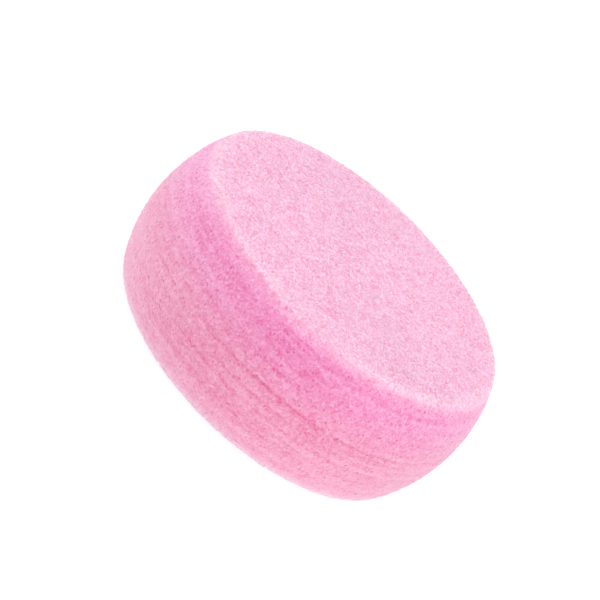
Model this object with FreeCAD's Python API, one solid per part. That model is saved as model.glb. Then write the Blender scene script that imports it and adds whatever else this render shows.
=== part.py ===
# Round foam pad for hair and cosmetic work: one plain disc of fine open-cell foam.
# The part has two flat faces and a side wall that bulges evenly between them.
# Millimetres, +Z up. The origin is the centre of the lower face, on which the disc rests.

import FreeCAD, Part
import os

# Driving dimensions
WIDEST_DIAMETER = 70.0   # across the belly of the side wall, half way up
FACE_DIAMETER = 63.6     # where the side wall would meet a flat face if the rim were sharp
THICKNESS = 26.4         # from one flat face to the other
RIM_RADIUS = 1.2         # rounding of the cut rim around each flat face

# A circular edge counts as a rim when its radius matches the flat face's this closely
RADIUS_MATCH = 0.001


def section_point(radius, height):
    """A point of the half section, which is drawn in the XZ plane."""
    return FreeCAD.Vector(radius, 0.0, height)


def half_section():
    """Half of the cross section: two flat faces joined by the single arc of the side wall."""
    bottom_centre = section_point(0.0, 0.0)
    bottom_rim = section_point(FACE_DIAMETER / 2, 0.0)
    belly = section_point(WIDEST_DIAMETER / 2, THICKNESS / 2)
    top_rim = section_point(FACE_DIAMETER / 2, THICKNESS)
    top_centre = section_point(0.0, THICKNESS)
    edges = [
        Part.makeLine(bottom_centre, bottom_rim),
        Part.Arc(bottom_rim, belly, top_rim).toShape(),
        Part.makeLine(top_rim, top_centre),
        Part.makeLine(top_centre, bottom_centre),
    ]
    return Part.Face(Part.Wire(edges))


def is_rim(edge):
    """True for the two circles in which the side wall meets the flat faces."""
    if not isinstance(edge.Curve, Part.Circle):
        return False
    return abs(edge.Curve.Radius - FACE_DIAMETER / 2) < RADIUS_MATCH


def foam_disc():
    """The whole foam disc: the half section turned about the Z axis, with both rims eased."""
    turned = half_section().revolve(section_point(0.0, 0.0), FreeCAD.Vector(0, 0, 1), 360.0)
    rims = [edge for edge in turned.Edges if is_rim(edge)]
    return turned.makeFillet(RIM_RADIUS, rims)


def write_node(name, shape):
    """Write one sub-part as a STEP file named after its node."""
    shape.exportStep(f"parts/{name}.step")
    box = shape.optimalBoundingBox()
    print(f"{name}: valid {shape.isValid()}, solids {len(shape.Solids)}, volume {shape.Volume:.0f} mm3")
    print(f"  box {box.XLength:.2f} x {box.YLength:.2f} x {box.ZLength:.2f} mm")


os.makedirs("parts", exist_ok=True)
write_node("foam_disc", foam_disc())
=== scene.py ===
import math
import random

import bpy
import numpy as np
from mathutils import Matrix, Vector, noise


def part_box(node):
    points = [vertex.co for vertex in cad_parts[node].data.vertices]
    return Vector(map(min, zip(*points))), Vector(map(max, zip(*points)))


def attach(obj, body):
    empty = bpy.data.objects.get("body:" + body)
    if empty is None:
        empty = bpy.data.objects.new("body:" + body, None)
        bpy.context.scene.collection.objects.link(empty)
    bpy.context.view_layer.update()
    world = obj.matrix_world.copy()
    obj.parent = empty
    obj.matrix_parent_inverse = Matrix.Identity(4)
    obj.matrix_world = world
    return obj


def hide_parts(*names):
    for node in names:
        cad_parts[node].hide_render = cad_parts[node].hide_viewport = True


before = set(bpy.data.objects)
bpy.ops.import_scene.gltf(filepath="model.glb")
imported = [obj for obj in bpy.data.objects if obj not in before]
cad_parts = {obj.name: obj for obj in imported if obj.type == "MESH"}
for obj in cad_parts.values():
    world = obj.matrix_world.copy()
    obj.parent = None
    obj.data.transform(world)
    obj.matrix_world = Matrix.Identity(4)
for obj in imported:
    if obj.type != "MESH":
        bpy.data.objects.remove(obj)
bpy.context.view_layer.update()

# ---------------------------------------------------------------------------
# The foam disc, in metres: its size comes from the frame, its texture from here
# ---------------------------------------------------------------------------
NODE = "foam_disc"
MM = 0.001

RIM_RADIUS = 1.2 * MM            # rounding of the cut rim, as in the CAD part
FLAT_MATCH = 0.001 * MM          # a CAD vertex this near the top belongs to the flat face
FACE_GRID = 152                  # mesh quads along each side of a flat face
WALL_ROWS = 86                   # mesh quads from the upper flat face to the lower one
MESH_JITTER = 0.22               # how far a vertex strays along the surface, in quads
MESH_SEED = 7

CELL = 0.85 * MM                 # the coarse foam cells that the mesh itself carries
CELL_DEPTH = 0.06 * MM
CELL_SLOPE = 0.55                # how wide the slope from a cell's wall to its floor is, in cells
CRUMB = 0.6 * MM                 # fine broken texture between the cells
CRUMB_DEPTH = 0.06 * MM
CLUMP = 2.6 * MM                 # soft clumps of denser and looser foam
CLUMP_DEPTH = 0.05 * MM
SWELL = 26.0 * MM                # slow unevenness of a soft block that was cut and ground
SWELL_DEPTH = 0.12 * MM
PROUD = 0.02 * MM                # how far the relief's mean stands out from the smooth surface

STREAK_LENGTH = 22.0 * MM        # grinding marks round the side wall
STREAK_WIDTH = 0.95 * MM
STREAK_DEPTH = 0.06 * MM
STREAK_START = 0.5 * MM          # they begin this far above the lower face
STREAK_FULL = 5.0 * MM           # and are as strong as anywhere from here up

RIM_EDGE = 0.6 * RIM_RADIUS      # the loose edge lies this far outside the flat face and off its plane
RIM_BREAK = 1.2 * MM             # size of the extra breaks along the cut rim
RIM_BREAK_DEPTH = 0.13 * MM
RIM_BREAK_WIDTH = 1.0 * MM       # how far they reach down the wall
RIM_FACE_REACH = 1.7             # and how many times as far onto the face
RAGGED = 0.9 * MM                # how fine the ragged line is where the cut face meets the wall
RAGGED_REACH = 0.35              # and how much it strays
WALL_BEGINS = 0.45               # the ground wall begins where the normal is this far from upright
WALL_FULL = 0.85                 # and is nothing but wall from here on

# Clear grinding grooves: share of the thickness up the wall, middle and half spread in degrees, strength
GROOVES = ((0.535, -65.0, 62.0, 1.0), (0.36, -78.0, 50.0, 0.55), (0.28, -92.0, 26.0, 0.5),
           (0.44, -70.0, 40.0, 0.5), (0.66, -98.0, 26.0, 0.8), (0.74, -55.0, 35.0, 0.4),
           (0.80, -96.0, 60.0, 0.6), (0.87, -70.0, 70.0, 0.8), (0.45, 95.0, 60.0, 0.8),
           (0.72, 150.0, 50.0, 0.6), (0.22, 30.0, 45.0, 0.5))
GROOVE_WIDTH = 0.28 * MM
GROOVE_DEPTH = 0.13 * MM
GROOVE_TAIL = 3                  # how many widths off its line a groove is no longer felt
GROOVE_WANDER = 0.35 * MM        # how far a groove strays up and down as it runs round
GROOVE_BREAK = 5.0 * MM          # how far it runs before it is weaker for a stretch
GROOVE_WEAK = 0.5                # its strength there
GROOVE_SPAN = (-0.3, 0.2)        # noise below the first is weak, and above the second is full

# How much each kind of relief adds to the painted shade of its hollows, a deeper and darker colour there
PIT_SHADE = 0.45
CRUMB_SHADE = 0.3
STREAK_SHADE = 2.2
GROOVE_SHADE = 1.35

BAKE_UV = "OFBake"               # the name of the ready flat map
MAP_GAP = 0.008                  # space between the islands of the flat map
MAP_FACE_RADIUS = 0.25 - MAP_GAP
MAP_UPPER_FACE = (0.25, 0.75)    # where the middles of the two faces lie on it
MAP_LOWER_FACE = (0.75, 0.75)


class Section:
    """Half of the disc's cross section, from the CAD part: flat radius, rounded rim, bulging wall."""

    def __init__(self, node):
        low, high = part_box(node)
        self.top = high.z
        self.bottom = low.z
        self.half_height = (high.z - low.z) / 2
        self.widest = (high.x - low.x) / 2
        self.flat_radius = self.measure_flat_radius(node, high.z)
        self.solve_wall()

    def measure_flat_radius(self, node, top):
        """Radius of the flat upper face of the CAD node."""
        points = [vertex.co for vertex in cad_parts[node].data.vertices]
        return max(math.hypot(co.x, co.y) for co in points if co.z > top - FLAT_MATCH)

    def solve_wall(self):
        """The wall is one arc that touches both rims' roundings and the widest radius."""
        overhang = self.widest - self.flat_radius
        rim_height = self.half_height - RIM_RADIUS
        self.wall_radius = (overhang**2 + rim_height**2 - RIM_RADIUS**2) / (2 * (overhang - RIM_RADIUS))
        self.wall_centre = self.widest - self.wall_radius
        self.wall_angle = math.atan2(rim_height, self.flat_radius - self.wall_centre)
        self.rim_length = RIM_RADIUS * (math.pi / 2 - self.wall_angle)
        self.length = 2 * self.rim_length + 2 * self.wall_radius * self.wall_angle

    def at(self, travelled):
        """Radius, height and normal (outward, up) after that length along the section, from the top."""
        upper = travelled < self.length / 2
        near = travelled if upper else self.length - travelled
        if near < self.rim_length:
            angle = math.pi / 2 - near / RIM_RADIUS
            radius = self.flat_radius + RIM_RADIUS * math.cos(angle)
            height = self.half_height - RIM_RADIUS + RIM_RADIUS * math.sin(angle)
        else:
            angle = self.wall_angle - (near - self.rim_length) / self.wall_radius
            radius = self.wall_centre + self.wall_radius * math.cos(angle)
            height = self.wall_radius * math.sin(angle)
        side = 1 if upper else -1
        middle = (self.top + self.bottom) / 2
        return radius, middle + side * height, math.cos(angle), side * math.sin(angle)


def disc_from_square(across, along):
    """Even map from the square -1..1 to the unit disc: squares round the middle become circles."""
    if across == 0 and along == 0:
        return 0.0, 0.0
    if abs(across) >= abs(along):
        radius, angle = across, math.pi / 4 * along / across
    else:
        radius, angle = along, math.pi / 2 - math.pi / 4 * across / along
    return radius * math.cos(angle), radius * math.sin(angle)


def smooth_step(low, high, value):
    share = min(1.0, max(0.0, (value - low) / (high - low)))
    return share * share * (3 - 2 * share)


# ---------------------------------------------------------------------------
# The mesh: two square grids bent into round faces, and the wall between their edges
# ---------------------------------------------------------------------------
class FoamMesh:
    """Collects vertices with their normals, quads, and a flat map for each quad's corners."""

    def __init__(self, section):
        self.section = section
        self.places = []
        self.normals = []
        self.quads = []
        self.maps = []
        self.random = random.Random(MESH_SEED)

    def stray(self):
        return self.random.uniform(-MESH_JITTER, MESH_JITTER)

    def add_vertex(self, place, normal):
        self.places.append(place)
        self.normals.append(normal)
        return len(self.places) - 1

    def face_grid(self, height, up):
        """One flat face as a grid of vertex numbers, grid[row][column]."""
        grid = []
        for row in range(FACE_GRID + 1):
            line = []
            for column in range(FACE_GRID + 1):
                inside = 0 < row < FACE_GRID and 0 < column < FACE_GRID
                strayed_row = row + (self.stray() if inside else 0)
                strayed_column = column + (self.stray() if inside else 0)
                x, y = disc_from_square(2 * strayed_column / FACE_GRID - 1, 2 * strayed_row / FACE_GRID - 1)
                place = (self.section.flat_radius * x, self.section.flat_radius * y, height)
                line.append(self.add_vertex(place, (0.0, 0.0, up)))
            grid.append(line)
        return grid

    def edge_loop(self, grid):
        """The grid's outer vertices in order, turning from -45 degrees with X towards Y."""
        last = FACE_GRID
        right = [grid[i][last] for i in range(last)]
        back = [grid[last][last - i] for i in range(last)]
        left = [grid[last - i][0] for i in range(last)]
        front = [grid[0][i] for i in range(last)]
        return right + back + left + front

    def wall_row(self, row):
        """A ring of vertices between the two rims."""
        loop = []
        for column in range(4 * FACE_GRID):
            angle = math.radians(-45 + 90 * (column + self.stray()) / FACE_GRID)
            travelled = self.section.length * (row + self.stray()) / WALL_ROWS
            radius, height, outward, up = self.section.at(travelled)
            place = (radius * math.cos(angle), radius * math.sin(angle), height)
            normal = (outward * math.cos(angle), outward * math.sin(angle), up)
            loop.append(self.add_vertex(place, normal))
        return loop

    def add_face_quads(self, grid, up, map_centre):
        for row in range(FACE_GRID):
            for column in range(FACE_GRID):
                quad = [grid[row][column], grid[row][column + 1],
                        grid[row + 1][column + 1], grid[row + 1][column]]
                if up < 0:
                    quad.reverse()
                self.quads.append(quad)
                self.maps.append([self.face_map(vertex, map_centre) for vertex in quad])

    def face_map(self, vertex, centre):
        x, y, _ = self.places[vertex]
        scale = MAP_FACE_RADIUS / self.section.flat_radius
        return centre[0] + scale * x, centre[1] + scale * y

    def add_wall_quads(self, loops):
        columns = 4 * FACE_GRID
        for row in range(WALL_ROWS):
            for column in range(columns):
                after = (column + 1) % columns
                self.quads.append([loops[row][column], loops[row + 1][column],
                                   loops[row + 1][after], loops[row][after]])
                corners = ((row, column), (row + 1, column), (row + 1, column + 1), (row, column + 1))
                quarter = column // FACE_GRID
                self.maps.append([self.wall_map(quarter, *corner) for corner in corners])

    def wall_map(self, quarter, row, column):
        """Each quarter of the wall is one strip of the map's lower half, two by two."""
        share = column / FACE_GRID - quarter
        across = MAP_GAP + (quarter % 2) * 0.5 + share * (0.5 - 2 * MAP_GAP)
        strip_height = (0.5 - 3 * MAP_GAP) / 2
        up = MAP_GAP + (quarter // 2) * (strip_height + MAP_GAP) + row / WALL_ROWS * strip_height
        return across, up

    def build(self):
        upper = self.face_grid(self.section.top, 1.0)
        rings = [self.wall_row(row) for row in range(1, WALL_ROWS)]
        lower = self.face_grid(self.section.bottom, -1.0)
        self.add_face_quads(upper, 1.0, MAP_UPPER_FACE)
        self.add_wall_quads([self.edge_loop(upper)] + rings + [self.edge_loop(lower)])
        self.add_face_quads(lower, -1.0, MAP_LOWER_FACE)


# ---------------------------------------------------------------------------
# The relief: how deep the foam lies below the smooth CAD surface at a point
# ---------------------------------------------------------------------------
def cell_pit(place, size):
    """1 in the middle of a foam cell, 0 on the thin wall to the next cell."""
    distances, _ = noise.voronoi(place / size)
    return smooth_step(0.0, CELL_SLOPE, distances[1] - distances[0])


def lumps(place, size):
    """Soft noise of that size, from 0 to 1."""
    return 0.5 + 0.5 * max(-1.0, min(1.0, noise.noise(place / size)))


def streaks(place):
    """Grinding marks: noise drawn out round the wall and fine up it."""
    drawn_out = Vector((place.x / STREAK_LENGTH, place.y / STREAK_LENGTH, place.z / STREAK_WIDTH))
    return 0.5 + 0.5 * noise.noise(drawn_out)


def grooves(place, section):
    """How deep in a clear groove a place is, 0 to 1. A groove keeps its height and fades at its ends."""
    angle = math.degrees(math.atan2(place.y, place.x))
    whole = GROOVE_WEAK + (1 - GROOVE_WEAK) * smooth_step(*GROOVE_SPAN, noise.noise(place / GROOVE_BREAK))
    wander = GROOVE_WANDER * noise.noise(Vector((place.x, place.y, 0)) / STREAK_LENGTH)
    deepest = 0.0
    for share, middle, spread, strength in GROOVES:
        height = section.bottom + share * (section.top - section.bottom)
        off_line = (place.z + wander - height) / GROOVE_WIDTH
        if abs(off_line) > GROOVE_TAIL:
            continue
        turned = abs((angle - middle + 180) % 360 - 180)
        fade = 1 - smooth_step(spread / 2, spread, turned)
        deepest = max(deepest, strength * whole * fade * math.exp(-off_line * off_line))
    return deepest


def rim_nearness(place, section):
    """1 on the cut rims, falling to 0 within a few millimetres."""
    outward = math.hypot(place.x, place.y) - (section.flat_radius + RIM_EDGE)
    if outward < 0:
        outward /= RIM_FACE_REACH
    off_middle = abs(place.z - (section.top + section.bottom) / 2)
    distance = math.hypot(outward, off_middle - (section.half_height - RIM_EDGE))
    return math.exp(-(distance / RIM_BREAK_WIDTH) ** 2)


def relief(place, normal, section):
    """Depth below the smooth surface in metres, then the share of painted shade in its hollows, how much
    wall and how much rim it is.
    """
    ragged = RAGGED_REACH * noise.noise(place / RAGGED)
    on_wall = smooth_step(WALL_BEGINS, WALL_FULL, math.hypot(normal.x, normal.y) + ragged)
    rim = rim_nearness(place, section)
    pit = cell_pit(place, CELL)
    crumb = lumps(place, CRUMB)
    streak = streaks(place) * on_wall * smooth_step(STREAK_START, STREAK_FULL, place.z)
    groove = grooves(place, section) * on_wall
    depth = (CELL_DEPTH * pit
             + CRUMB_DEPTH * crumb
             + CLUMP_DEPTH * lumps(place, CLUMP)
             + SWELL_DEPTH * lumps(place, SWELL)
             + STREAK_DEPTH * streak
             + GROOVE_DEPTH * groove
             + RIM_BREAK_DEPTH * rim * lumps(place, RIM_BREAK))
    # painted shade: the pits, crumbs, streaks and grooves take a deeper, darker colour
    hollow_shade = PIT_SHADE * pit + CRUMB_SHADE * crumb + STREAK_SHADE * streak + GROOVE_SHADE * groove
    return depth, hollow_shade, on_wall, rim


# ---------------------------------------------------------------------------
# Materials
# ---------------------------------------------------------------------------
class NodeTree:
    """Short calls for building a material's nodes."""

    def __init__(self, name):
        self.material = bpy.data.materials.new(name)
        self.material.use_nodes = True
        self.tree = self.material.node_tree
        self.shader = next(n for n in self.tree.nodes if n.type == "BSDF_PRINCIPLED")

    def add(self, kind, **settings):
        node = self.tree.nodes.new(kind)
        for name, value in settings.items():
            setattr(node, name, value)
        return node

    def feed(self, socket, value):
        """Set a socket to a constant, or link another node's output to it."""
        if isinstance(value, bpy.types.NodeSocket):
            self.tree.links.new(value, socket)
        else:
            socket.default_value = value

    def math(self, operation, *values):
        node = self.add("ShaderNodeMath", operation=operation)
        for socket, value in zip(node.inputs, values):
            self.feed(socket, value)
        return node.outputs[0]

    def weighted_sum(self, *pairs):
        """The sum of value times weight over (value, weight) pairs."""
        total = self.math("MULTIPLY", *pairs[0])
        for value, weight in pairs[1:]:
            total = self.math("MULTIPLY_ADD", value, weight, total)
        return total

    def spread(self, value, low, high):
        """Stretch low..high to 0..1, with ends that ease."""
        node = self.add("ShaderNodeMapRange", interpolation_type="SMOOTHSTEP")
        self.feed(node.inputs["Value"], value)
        self.feed(node.inputs["From Min"], low)
        self.feed(node.inputs["From Max"], high)
        return node.outputs["Result"]

    def between(self, share, first, second):
        """A number that goes from first to second as the share goes from 0 to 1."""
        if first == second:
            return first
        return self.math("MULTIPLY_ADD", share, second - first, first)

    def mix_colour(self, share, first, second, blend="MIX"):
        node = self.add("ShaderNodeMix", data_type="RGBA", blend_type=blend)
        for identifier, value in (("Factor_Float", share), ("A_Color", first), ("B_Color", second)):
            socket = next(s for s in node.inputs if s.identifier == identifier)
            self.feed(socket, value)
        return next(s for s in node.outputs if s.identifier == "Result_Color")

    def attribute(self, name):
        return self.add("ShaderNodeAttribute", attribute_name=name).outputs["Fac"]

    def cells(self, place, size, feature="F1"):
        """Foam cells of that size in metres: the node, for its Distance and Color outputs."""
        node = self.add("ShaderNodeTexVoronoi", feature=feature)
        self.feed(node.inputs["Vector"], place)
        self.feed(node.inputs["Scale"], 1 / size)
        return node

    def cloud(self, place, size, detail, roughness=0.5):
        """Noise of that size in metres, from 0 to 1."""
        node = self.add("ShaderNodeTexNoise")
        self.feed(node.inputs["Vector"], place)
        self.feed(node.inputs["Scale"], 1 / size)
        self.feed(node.inputs["Detail"], detail)
        self.feed(node.inputs["Roughness"], roughness)
        return node.outputs["Fac"]


# Foam colours (linear): pale tips, and deep tones of the sliced faces, the ground wall and the rims that
# are partly the foam's deeper pink and partly painted shade
SLICED_TIP = (0.95, 0.575, 0.795, 1)
SLICED_DEEP_AND_SHADE = (0.78, 0.05, 0.27, 1)
GROUND_TIP = (0.97, 0.565, 0.775, 1)
GROUND_DEEP_AND_SHADE = (0.78, 0.115, 0.34, 1)
RIM_HIGHLIGHT_TIP = (0.97, 0.72, 0.84, 1)    # painted highlight along the cut rims, which look paler there
RIM_HIGHLIGHT_DEEP = (0.84, 0.27, 0.50, 1)
RIM_HIGHLIGHT_COVER = 0.90                   # how far the painted rim highlight covers the other colours
GLINT_PINK = (1.0, 0.82, 0.92, 1)  # painted glints: highlights on single crumbs
UPPER_LIGHT_TINT = (1.0, 0.86, 1.02, 1)   # painted light tint: the wall is a little more magenta under the upper rim
LOWER_LIGHT_TINT = (1.0, 0.955, 0.93, 1)   # and a little more salmon near the lower one, also painted light
LIGHT_TINT_HEIGHTS = (12.0 * MM, 23.0 * MM)

# Cells and clouds
SMALL_CELL = 0.32 * MM           # the real cells
LARGE_CELL = 0.60 * MM           # torn and merged cells
STRUT_SPACING = 0.75 * MM        # the net of thin paler struts between the cells
STRUT_SPAN = (0.16, 0.02)        # where a strut starts and is full, in spacings from its line
CLOUD = 1.1 * MM                 # random unevenness over several cells, down to broken cell walls
CLOUD_DETAIL = 3.0
CLOUD_ROUGHNESS = 0.8
CLOUD_SPAN = (0.25, 0.75)
TONE_CLUMP = 3.0 * MM            # soft patches of paler foam
TONE_CLUMP_SPAN = (0.3, 0.7)
WARP_SIZE = 0.5 * MM             # how the cells are bent out of their regular shape
WARP_REACH = 0.35 * MM

# Scattered dots: spacing of the places, share of them that hold a dot, and the dot's radius
PORES = (0.85 * MM, 0.50, 0.32 * MM)    # open pores, sunk in the relief and darker there as painted shade
CRUMBS = (0.70 * MM, 0.45, 0.27 * MM)   # loose crumbs of cell wall, raised in the relief, which carry the painted glints
GRAINS = (0.45 * MM, 0.85, 0.27 * MM)   # cut ends of struts, which make the sliced faces sugary
DOT_CORE = 0.3                          # share of the radius within which a dot is full

# Fine grinding dashes round the wall, darker as painted shade in the marks
DASH_LENGTH = 10.0 * MM
DASH_WIDTH = 0.50 * MM
DASH_SPAN = (0.52, 0.74)
DASH_PATCH = 14.0 * MM           # size of the patches in which they gather
DASH_PATCH_SPAN = (0.35, 0.65)

# How much each pattern deepens the colour, or pales it below zero, on the sliced faces and the ground wall
DEEPENS = {
    "small_tone": (-0.38, -0.38),
    "large_tone": (-0.24, -0.24),
    "cloud": (-0.30, -0.30),
    "pores": (0.05, 0.45),
    "struts": (-0.05, -0.25),
    "grains": (-0.90, 0.0),
    "clumps": (-0.15, -0.12),
    # painted shade of the relief's hollows
    "hollow_shade": (0.26, 0.26),
    "dashes": (0.20, 0.20),
}
DEEPENS_ALL = (0.40, 0.325)      # the same, for all places alike
CONTRAST = (0.90, 0.70)          # how far the sum of it all carries from the middle tone
MIDDLE_TONE = 0.5                # halfway between tip and hollow
GLINTS = (0.80, 0.30)            # how strongly the crumbs carry painted glints

# How much each pattern raises the fine relief
RAISES = {
    "small_tone": 0.25,
    "large_tone": 0.30,
    "cloud": 0.45,
    "pores": -0.3,
    "crumbs": 0.3,
    "dashes": -0.15,
}
FINE_RELIEF = (0.38 * MM, 0.23 * MM)    # from its hollows to its tips: slicing tears more
FINE_MIDDLE = 0.45               # the share of it that lies inside the mesh
FINEST_STRENGTH = 0.4            # bump of the same pattern, for what the fine mesh leaves out
FINEST_RELIEF = 0.10 * MM

ROUGHNESS = 0.78
PORE_ROUGHNESS = 0.12            # added in the pores
CLUMP_ROUGHNESS = 0.06           # and in the patches
SHEEN_WEIGHT = 0.65              # soft light caught by thousands of strut ends
SHEEN_ROUGHNESS = 0.6
SHEEN_TINT = (1.0, 0.95, 0.98, 1)
SPECULAR_LEVEL = 0.5
SCATTER_WEIGHT = 0.35            # light passes from cell to cell, red the furthest
SCATTER_RADIUS = (1.0, 0.3, 0.8)
SCATTER_REACH = 3.0 * MM


def red_of(nodes, colour):
    split = nodes.add("ShaderNodeSeparateColor")
    nodes.feed(split.inputs["Color"], colour)
    return split.outputs["Red"]


def height_of(nodes, place):
    split = nodes.add("ShaderNodeSeparateXYZ")
    nodes.feed(split.inputs["Vector"], place)
    return split.outputs["Z"]


def warped(nodes, place):
    """The place pushed about by noise, so that no cell keeps a tidy outline."""
    noise_node = nodes.add("ShaderNodeTexNoise")
    nodes.feed(noise_node.inputs["Vector"], place)
    nodes.feed(noise_node.inputs["Scale"], 1 / WARP_SIZE)
    push = nodes.add("ShaderNodeVectorMath", operation="MULTIPLY_ADD")
    nodes.feed(push.inputs[0], noise_node.outputs["Color"])
    nodes.feed(push.inputs[1], (WARP_REACH, WARP_REACH, WARP_REACH))
    nodes.feed(push.inputs[2], place)
    return push.outputs["Vector"]


def cell_tone(nodes, place, size):
    """One random number, from 0 to 1, for each foam cell of that size."""
    return red_of(nodes, nodes.cells(place, size).outputs["Color"])


def dots(nodes, place, spacing, share, radius):
    """Scattered soft dots: about that share of the places on a random lattice holds one."""
    seeds = nodes.cells(place, spacing)
    present = nodes.spread(red_of(nodes, seeds.outputs["Color"]), 1 - share, 1 - share / 2)
    profile = nodes.spread(seeds.outputs["Distance"], radius / spacing, DOT_CORE * radius / spacing)
    return nodes.math("MULTIPLY", present, profile)


def struts(nodes, place):
    """The net of thin struts along the borders between cells."""
    border = nodes.cells(place, STRUT_SPACING, "DISTANCE_TO_EDGE").outputs["Distance"]
    return nodes.spread(border, *STRUT_SPAN)


def dashes(nodes, place, on_wall):
    """Short grinding marks that follow the wall round, gathered in some places and absent in others."""
    drawn_out = nodes.add("ShaderNodeVectorMath", operation="MULTIPLY")
    nodes.feed(drawn_out.inputs[0], place)
    nodes.feed(drawn_out.inputs[1], (1 / DASH_LENGTH, 1 / DASH_LENGTH, 1 / DASH_WIDTH))
    marks = nodes.spread(nodes.cloud(drawn_out.outputs["Vector"], 1.0, 1.0), *DASH_SPAN)
    gathered = nodes.spread(nodes.cloud(place, DASH_PATCH, 0.0), *DASH_PATCH_SPAN)
    return nodes.math("MULTIPLY", marks, nodes.math("MULTIPLY", gathered, on_wall))


def foam_patterns(nodes, place, on_wall):
    """The patterns that colour and raise the foam, by name. They run from 0 to about 1, the painted hollow
    shade further.
    """
    bent_place = warped(nodes, place)
    return {
        "small_tone": cell_tone(nodes, bent_place, SMALL_CELL),
        "large_tone": cell_tone(nodes, bent_place, LARGE_CELL),
        "cloud": nodes.spread(nodes.cloud(place, CLOUD, CLOUD_DETAIL, CLOUD_ROUGHNESS), *CLOUD_SPAN),
        "clumps": nodes.spread(nodes.cloud(place, TONE_CLUMP, 1.0), *TONE_CLUMP_SPAN),
        "pores": dots(nodes, bent_place, *PORES),
        "crumbs": dots(nodes, bent_place, *CRUMBS),
        "grains": dots(nodes, bent_place, *GRAINS),
        "struts": struts(nodes, bent_place),
        "dashes": dashes(nodes, place, on_wall),
        "hollow_shade": nodes.attribute("hollow_shade"),
    }


def foam_colour(nodes, place, on_wall, patterns):
    """Pale tips and deep tones with painted shade in the hollows, a painted highlight along the rims, a
    painted light tint up the wall, and painted glints.
    """
    deep = nodes.weighted_sum(*((patterns[name], nodes.between(on_wall, *weights))
                                for name, weights in DEEPENS.items()))
    deep = nodes.math("ADD", deep, nodes.between(on_wall, *DEEPENS_ALL))
    deep = nodes.math("MULTIPLY_ADD", deep, nodes.between(on_wall, *CONTRAST), MIDDLE_TONE)

    # painted highlight: paler tips and deeps along the cut rims
    rim = nodes.math("MULTIPLY", nodes.attribute("rim"), RIM_HIGHLIGHT_COVER)
    tips = nodes.mix_colour(rim, nodes.mix_colour(on_wall, SLICED_TIP, GROUND_TIP), RIM_HIGHLIGHT_TIP)
    hollows = nodes.mix_colour(rim, nodes.mix_colour(on_wall, SLICED_DEEP_AND_SHADE, GROUND_DEEP_AND_SHADE), RIM_HIGHLIGHT_DEEP)
    colour = nodes.mix_colour(deep, tips, hollows)

    # painted light tint up the wall, by height
    height = nodes.spread(height_of(nodes, place), *LIGHT_TINT_HEIGHTS)
    light_tinted = nodes.math("MULTIPLY", on_wall, nodes.math("SUBTRACT", 1.0, rim))
    colour = nodes.mix_colour(light_tinted, colour, nodes.mix_colour(height, LOWER_LIGHT_TINT, UPPER_LIGHT_TINT), "MULTIPLY")

    # painted glints: crumbs turned near white
    glints = nodes.math("MULTIPLY", patterns["crumbs"], nodes.between(on_wall, *GLINTS))
    return nodes.mix_colour(glints, colour, GLINT_PINK)


def raise_foam(nodes, on_wall, patterns):
    """The fine relief: true displacement, and a faint bump for what the mesh is too coarse for."""
    tip = nodes.weighted_sum(*((patterns[name], weight) for name, weight in RAISES.items()))
    finest = nodes.add("ShaderNodeBump")
    nodes.feed(finest.inputs["Strength"], FINEST_STRENGTH)
    nodes.feed(finest.inputs["Distance"], FINEST_RELIEF)
    nodes.feed(finest.inputs["Height"], tip)
    nodes.feed(nodes.shader.inputs["Normal"], finest.outputs["Normal"])

    fine = nodes.add("ShaderNodeDisplacement")
    nodes.feed(fine.inputs["Height"], tip)
    nodes.feed(fine.inputs["Midlevel"], FINE_MIDDLE)
    nodes.feed(fine.inputs["Scale"], nodes.between(on_wall, *FINE_RELIEF))
    output = next(n for n in nodes.tree.nodes if n.type == "OUTPUT_MATERIAL")
    nodes.feed(output.inputs["Displacement"], fine.outputs["Displacement"])
    nodes.material.displacement_method = "BOTH"


def foam_material():
    nodes = NodeTree("pink_foam")
    place = nodes.add("ShaderNodeTexCoord").outputs["Object"]
    on_wall = nodes.attribute("on_wall")
    patterns = foam_patterns(nodes, place, on_wall)
    nodes.feed(nodes.shader.inputs["Base Color"], foam_colour(nodes, place, on_wall, patterns))
    added = nodes.weighted_sum((patterns["pores"], PORE_ROUGHNESS), (patterns["clumps"], CLUMP_ROUGHNESS))
    nodes.feed(nodes.shader.inputs["Roughness"], nodes.math("ADD", added, ROUGHNESS))
    raise_foam(nodes, on_wall, patterns)
    nodes.shader.inputs["Specular IOR Level"].default_value = SPECULAR_LEVEL
    nodes.shader.inputs["Sheen Weight"].default_value = SHEEN_WEIGHT
    nodes.shader.inputs["Sheen Roughness"].default_value = SHEEN_ROUGHNESS
    nodes.shader.inputs["Sheen Tint"].default_value = SHEEN_TINT
    nodes.shader.inputs["Subsurface Weight"].default_value = SCATTER_WEIGHT
    nodes.shader.inputs["Subsurface Radius"].default_value = SCATTER_RADIUS
    nodes.shader.inputs["Subsurface Scale"].default_value = SCATTER_REACH
    return nodes.material


FLOOR_GREY = 0.36
FLOOR_GLOW = 0.74


def light_table_material():
    """A matt floor that gives off most of its own white, as a photographer's light table does."""
    nodes = NodeTree("pale_light_table")
    nodes.shader.inputs["Base Color"].default_value = (FLOOR_GREY, FLOOR_GREY, FLOOR_GREY, 1)
    nodes.shader.inputs["Roughness"].default_value = 1.0
    nodes.shader.inputs["Specular IOR Level"].default_value = 0.0
    nodes.shader.inputs["Emission Color"].default_value = (1, 1, 1, 1)
    nodes.shader.inputs["Emission Strength"].default_value = FLOOR_GLOW
    return nodes.material


# ---------------------------------------------------------------------------
# The piece
# ---------------------------------------------------------------------------
FINE_LEVELS = 2                  # how often a render splits the mesh for the fine relief


def write_attribute(mesh, name, values):
    attribute = mesh.attributes.new(name, "FLOAT", "POINT")
    attribute.data.foreach_set("value", np.array(values, np.float32))


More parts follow.
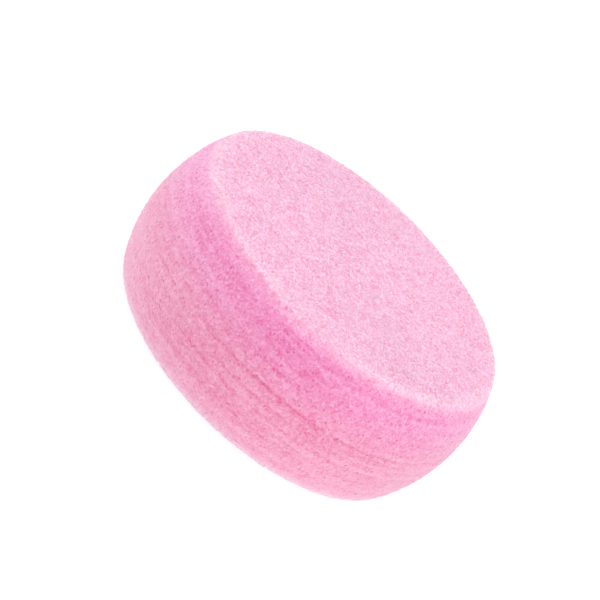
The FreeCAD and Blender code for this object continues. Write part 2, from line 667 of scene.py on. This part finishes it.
def foam_disc():
    section = Section(NODE)
    foam = FoamMesh(section)
    foam.build()
    textures = [relief(Vector(place), Vector(normal), section)
                for place, normal in zip(foam.places, foam.normals)]
    depths, hollows, walls, rims = np.array(textures).T
    raised = depths.mean() - depths + PROUD
    places = np.array(foam.places) + raised[:, None] * np.array(foam.normals)
    mesh = bpy.data.meshes.new("pink_foam_disc")
    mesh.from_pydata(places.tolist(), [], foam.quads)
    write_attribute(mesh, "hollow_shade", hollows)
    write_attribute(mesh, "on_wall", walls)
    write_attribute(mesh, "rim", rims)
    flat_map = mesh.uv_layers.new(name=BAKE_UV)
    flat_map.data.foreach_set("uv", np.array(foam.maps, np.float32).ravel())
    mesh.shade_smooth()
    mesh.materials.append(foam_material())
    piece = bpy.data.objects.new("pink_foam_disc", mesh)
    finer = piece.modifiers.new("room for the fine cells", "SUBSURF")
    finer.subdivision_type = "SIMPLE"
    finer.levels = 0
    finer.render_levels = FINE_LEVELS
    bpy.context.scene.collection.objects.link(piece)
    return piece


# ---------------------------------------------------------------------------
# Floor, light and camera
# ---------------------------------------------------------------------------
FLOOR_SIZE = 4.0
FLOOR_DROP = 0.3 * MM            # room for the relief that stands out from the lower face
TENT_LIGHT = 0.65                # how strongly the white surround lights the disc
TENT_SEEN = 1.0                  # and how bright it looks

# Lamps: name, azimuth and elevation in degrees as around() takes them, watts
LAMPS = (("top", 0, 90, 1.3), ("left", -100, 25, 0.98), ("right", 50, 25, 1.02))
LAMP_DISTANCE = 0.6
LAMP_WIDTH = 0.4


def floor():
    mesh = bpy.data.meshes.new("floor")
    half = FLOOR_SIZE / 2
    corners = [(-half, -half), (half, -half), (half, half), (-half, half)]
    mesh.from_pydata([(x, y, -FLOOR_DROP) for x, y in corners], [], [(0, 1, 2, 3)])
    mesh.materials.append(light_table_material())
    plane = bpy.data.objects.new("floor", mesh)
    bpy.context.scene.collection.objects.link(plane)


def white_surround():
    """An even white tent. It shows as pure white behind the object, and lights it less than that."""
    world = bpy.data.worlds.new("white_tent")
    world.use_nodes = True
    nodes = world.node_tree.nodes
    seen = nodes.new("ShaderNodeLightPath").outputs["Is Camera Ray"]
    strength = nodes.new("ShaderNodeMapRange")
    strength.inputs["To Min"].default_value = TENT_LIGHT
    strength.inputs["To Max"].default_value = TENT_SEEN
    world.node_tree.links.new(seen, strength.inputs["Value"])
    world.node_tree.links.new(strength.outputs["Result"], nodes["Background"].inputs["Strength"])
    nodes["Background"].inputs["Color"].default_value = (1, 1, 1, 1)
    bpy.context.scene.world = world


def soft_lamp(name, place, target, watts):
    lamp = bpy.data.lights.new(name, "AREA")
    lamp.shape = "DISK"
    lamp.size = LAMP_WIDTH
    lamp.energy = watts
    holder = bpy.data.objects.new(name, lamp)
    holder.location = place
    holder.rotation_euler = (Vector(target) - Vector(place)).to_track_quat("-Z", "Y").to_euler()
    bpy.context.scene.collection.objects.link(holder)


def around(middle, azimuth, elevation, distance):
    """A place round the disc: azimuth 0 is on the camera's side and 90 to its right, in degrees."""
    turn, rise = math.radians(azimuth), math.radians(elevation)
    level = Vector((math.sin(turn), -math.cos(turn), 0)) * math.cos(rise)
    return middle + distance * (level + Vector((0, 0, math.sin(rise))))


def studio_lamps(middle):
    for name, azimuth, elevation, watts in LAMPS:
        soft_lamp(name, around(middle, azimuth, elevation, LAMP_DISTANCE), middle, watts)


CAMERA_DISTANCE = 0.4737             # from the point that it looks at
CAMERA_ELEVATION = math.radians(25.14)
CAMERA_ROLL = math.radians(44.2)     # the camera is turned, so that the disc leans to the right
LENS = 160.6                         # focal length and sensor width in millimetres
SENSOR_WIDTH = 36.0
FAR_CLIP = 10.0
AIM_RIGHT = -2.0 * MM                # the disc sits a little right of and below the picture's middle
AIM_UP = 2.3 * MM


def camera(middle):
    data = bpy.data.cameras.new("camera")
    data.lens = LENS
    data.sensor_width = SENSOR_WIDTH
    data.clip_end = FAR_CLIP
    holder = bpy.data.objects.new("camera", data)
    back = Vector((0, -math.cos(CAMERA_ELEVATION), math.sin(CAMERA_ELEVATION)))
    level_right = Vector((1, 0, 0))
    level_up = back.cross(level_right)
    right = level_right * math.cos(CAMERA_ROLL) + level_up * math.sin(CAMERA_ROLL)
    up = back.cross(right)
    aim = middle + AIM_RIGHT * right + AIM_UP * up
    place = aim + CAMERA_DISTANCE * back
    holder.matrix_world = Matrix.Translation(place) @ Matrix((right, up, back)).transposed().to_4x4()
    bpy.context.scene.collection.objects.link(holder)
    bpy.context.scene.camera = holder


piece = foam_disc()
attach(piece, "root")
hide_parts(NODE)

low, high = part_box(NODE)
middle = (low + high) / 2
floor()
white_surround()
studio_lamps(middle)
camera(middle)
bpy.context.scene.view_settings.view_transform = "Standard"
